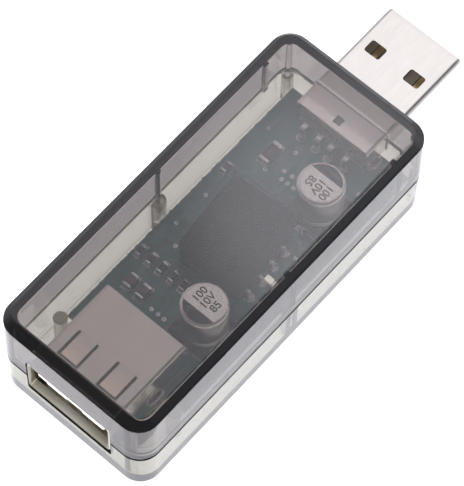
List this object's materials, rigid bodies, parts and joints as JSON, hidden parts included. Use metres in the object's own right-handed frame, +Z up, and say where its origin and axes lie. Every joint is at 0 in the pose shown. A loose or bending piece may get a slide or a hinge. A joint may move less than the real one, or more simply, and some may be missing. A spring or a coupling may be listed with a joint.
{
  "type": "usb isolator",
  "caption": "Small inline USB isolator dongle: a smoked clear two-part case around a circuit board, with a USB-A plug at one end and a USB-A receptacle at the other.",
  "frame": {"origin": "centre of the case's flat underside", "axes": "+X along the length, out of the plug; +Y across, to the left when looking along +X; +Z up through the cover"},
  "size_m": [0.0692, 0.0244, 0.0171],
  "materials": {
    "cover_plastic": "smoked clear, polished",
    "base_plastic": "faintly smoked clear, polished",
    "board": "green solder mask, satin",
    "shell_metal": "nickel plated, polished",
    "white_plastic": "satin",
    "black_plastic": "moulded, satin",
    "contact_gold": "gold flash over copper alloy",
    "tinned_lead": "tin plated",
    "can_metal": "satin",
    "resistor_black": "satin with tinned ends",
    "ceramic": "matt ceramic with tinned ends",
    "led_lens": "milky"
  },
  "bodies": {
    "base": {"bottom_shell": "base_plastic", "circuit_board": "board", "plug_shell": "shell_metal", "plug_insulator": "black_plastic", "receptacle_shell": "shell_metal", "receptacle_insulator": "white_plastic", "dc_converter": "black_plastic", "isolator_chip": "black_plastic", "fuse_chip": "black_plastic", "indicator_led": "led_lens", "plug_contact_1": "contact_gold", "receptacle_leg_1": "tinned_lead", "dc_converter_pin_1": "tinned_lead", "plug_contact_2": "contact_gold", "receptacle_leg_2": "tinned_lead", "dc_converter_pin_2": "tinned_lead", "plug_contact_3": "contact_gold", "receptacle_leg_3": "tinned_lead", "dc_converter_pin_3": "tinned_lead", "plug_contact_4": "contact_gold", "receptacle_leg_4": "tinned_lead", "dc_converter_pin_4": "tinned_lead", "capacitor_base_1": "black_plastic", "capacitor_can_1": "can_metal", "capacitor_base_2": "black_plastic", "capacitor_can_2": "can_metal", "resistor_1": "resistor_black", "resistor_2": "resistor_black", "resistor_3": "resistor_black", "resistor_4": "resistor_black", "resistor_5": "resistor_black", "ceramic_capacitor_1": "ceramic", "ceramic_capacitor_2": "ceramic", "ceramic_capacitor_3": "ceramic"},
    "cover": {"top_cover": "cover_plastic"},
    "contact_1": {"receptacle_contact_1": "contact_gold"},
    "contact_2": {"receptacle_contact_2": "contact_gold"},
    "contact_3": {"receptacle_contact_3": "contact_gold"},
    "contact_4": {"receptacle_contact_4": "contact_gold"}
  },
  "joints": [
    {"name": "cover_lift", "type": "slide", "parent": "base", "child": "cover", "axis": [0, 0, 1], "range_m": [0, 0.02]},
    {"name": "receptacle_contact_1_flex", "type": "hinge", "parent": "base", "child": "contact_1", "pos_m": [-0.01872, 0.0035, 0.00911], "axis": [0, 1, 0], "range_deg": [0, 3.5], "stiffness_Nm_per_rad": 0.08, "springref_deg": -1.72},
    {"name": "receptacle_contact_2_flex", "type": "hinge", "parent": "base", "child": "contact_2", "pos_m": [-0.01872, 0.001, 0.00911], "axis": [0, 1, 0], "range_deg": [0, 3.5], "stiffness_Nm_per_rad": 0.08, "springref_deg": -1.72},
    {"name": "receptacle_contact_3_flex", "type": "hinge", "parent": "base", "child": "contact_3", "pos_m": [-0.01872, -0.001, 0.00911], "axis": [0, 1, 0], "range_deg": [0, 3.5], "stiffness_Nm_per_rad": 0.08, "springref_deg": -1.72},
    {"name": "receptacle_contact_4_flex", "type": "hinge", "parent": "base", "child": "contact_4", "pos_m": [-0.01872, -0.0035, 0.00911], "axis": [0, 1, 0], "range_deg": [0, 3.5], "stiffness_Nm_per_rad": 0.08, "springref_deg": -1.72}
  ]
}
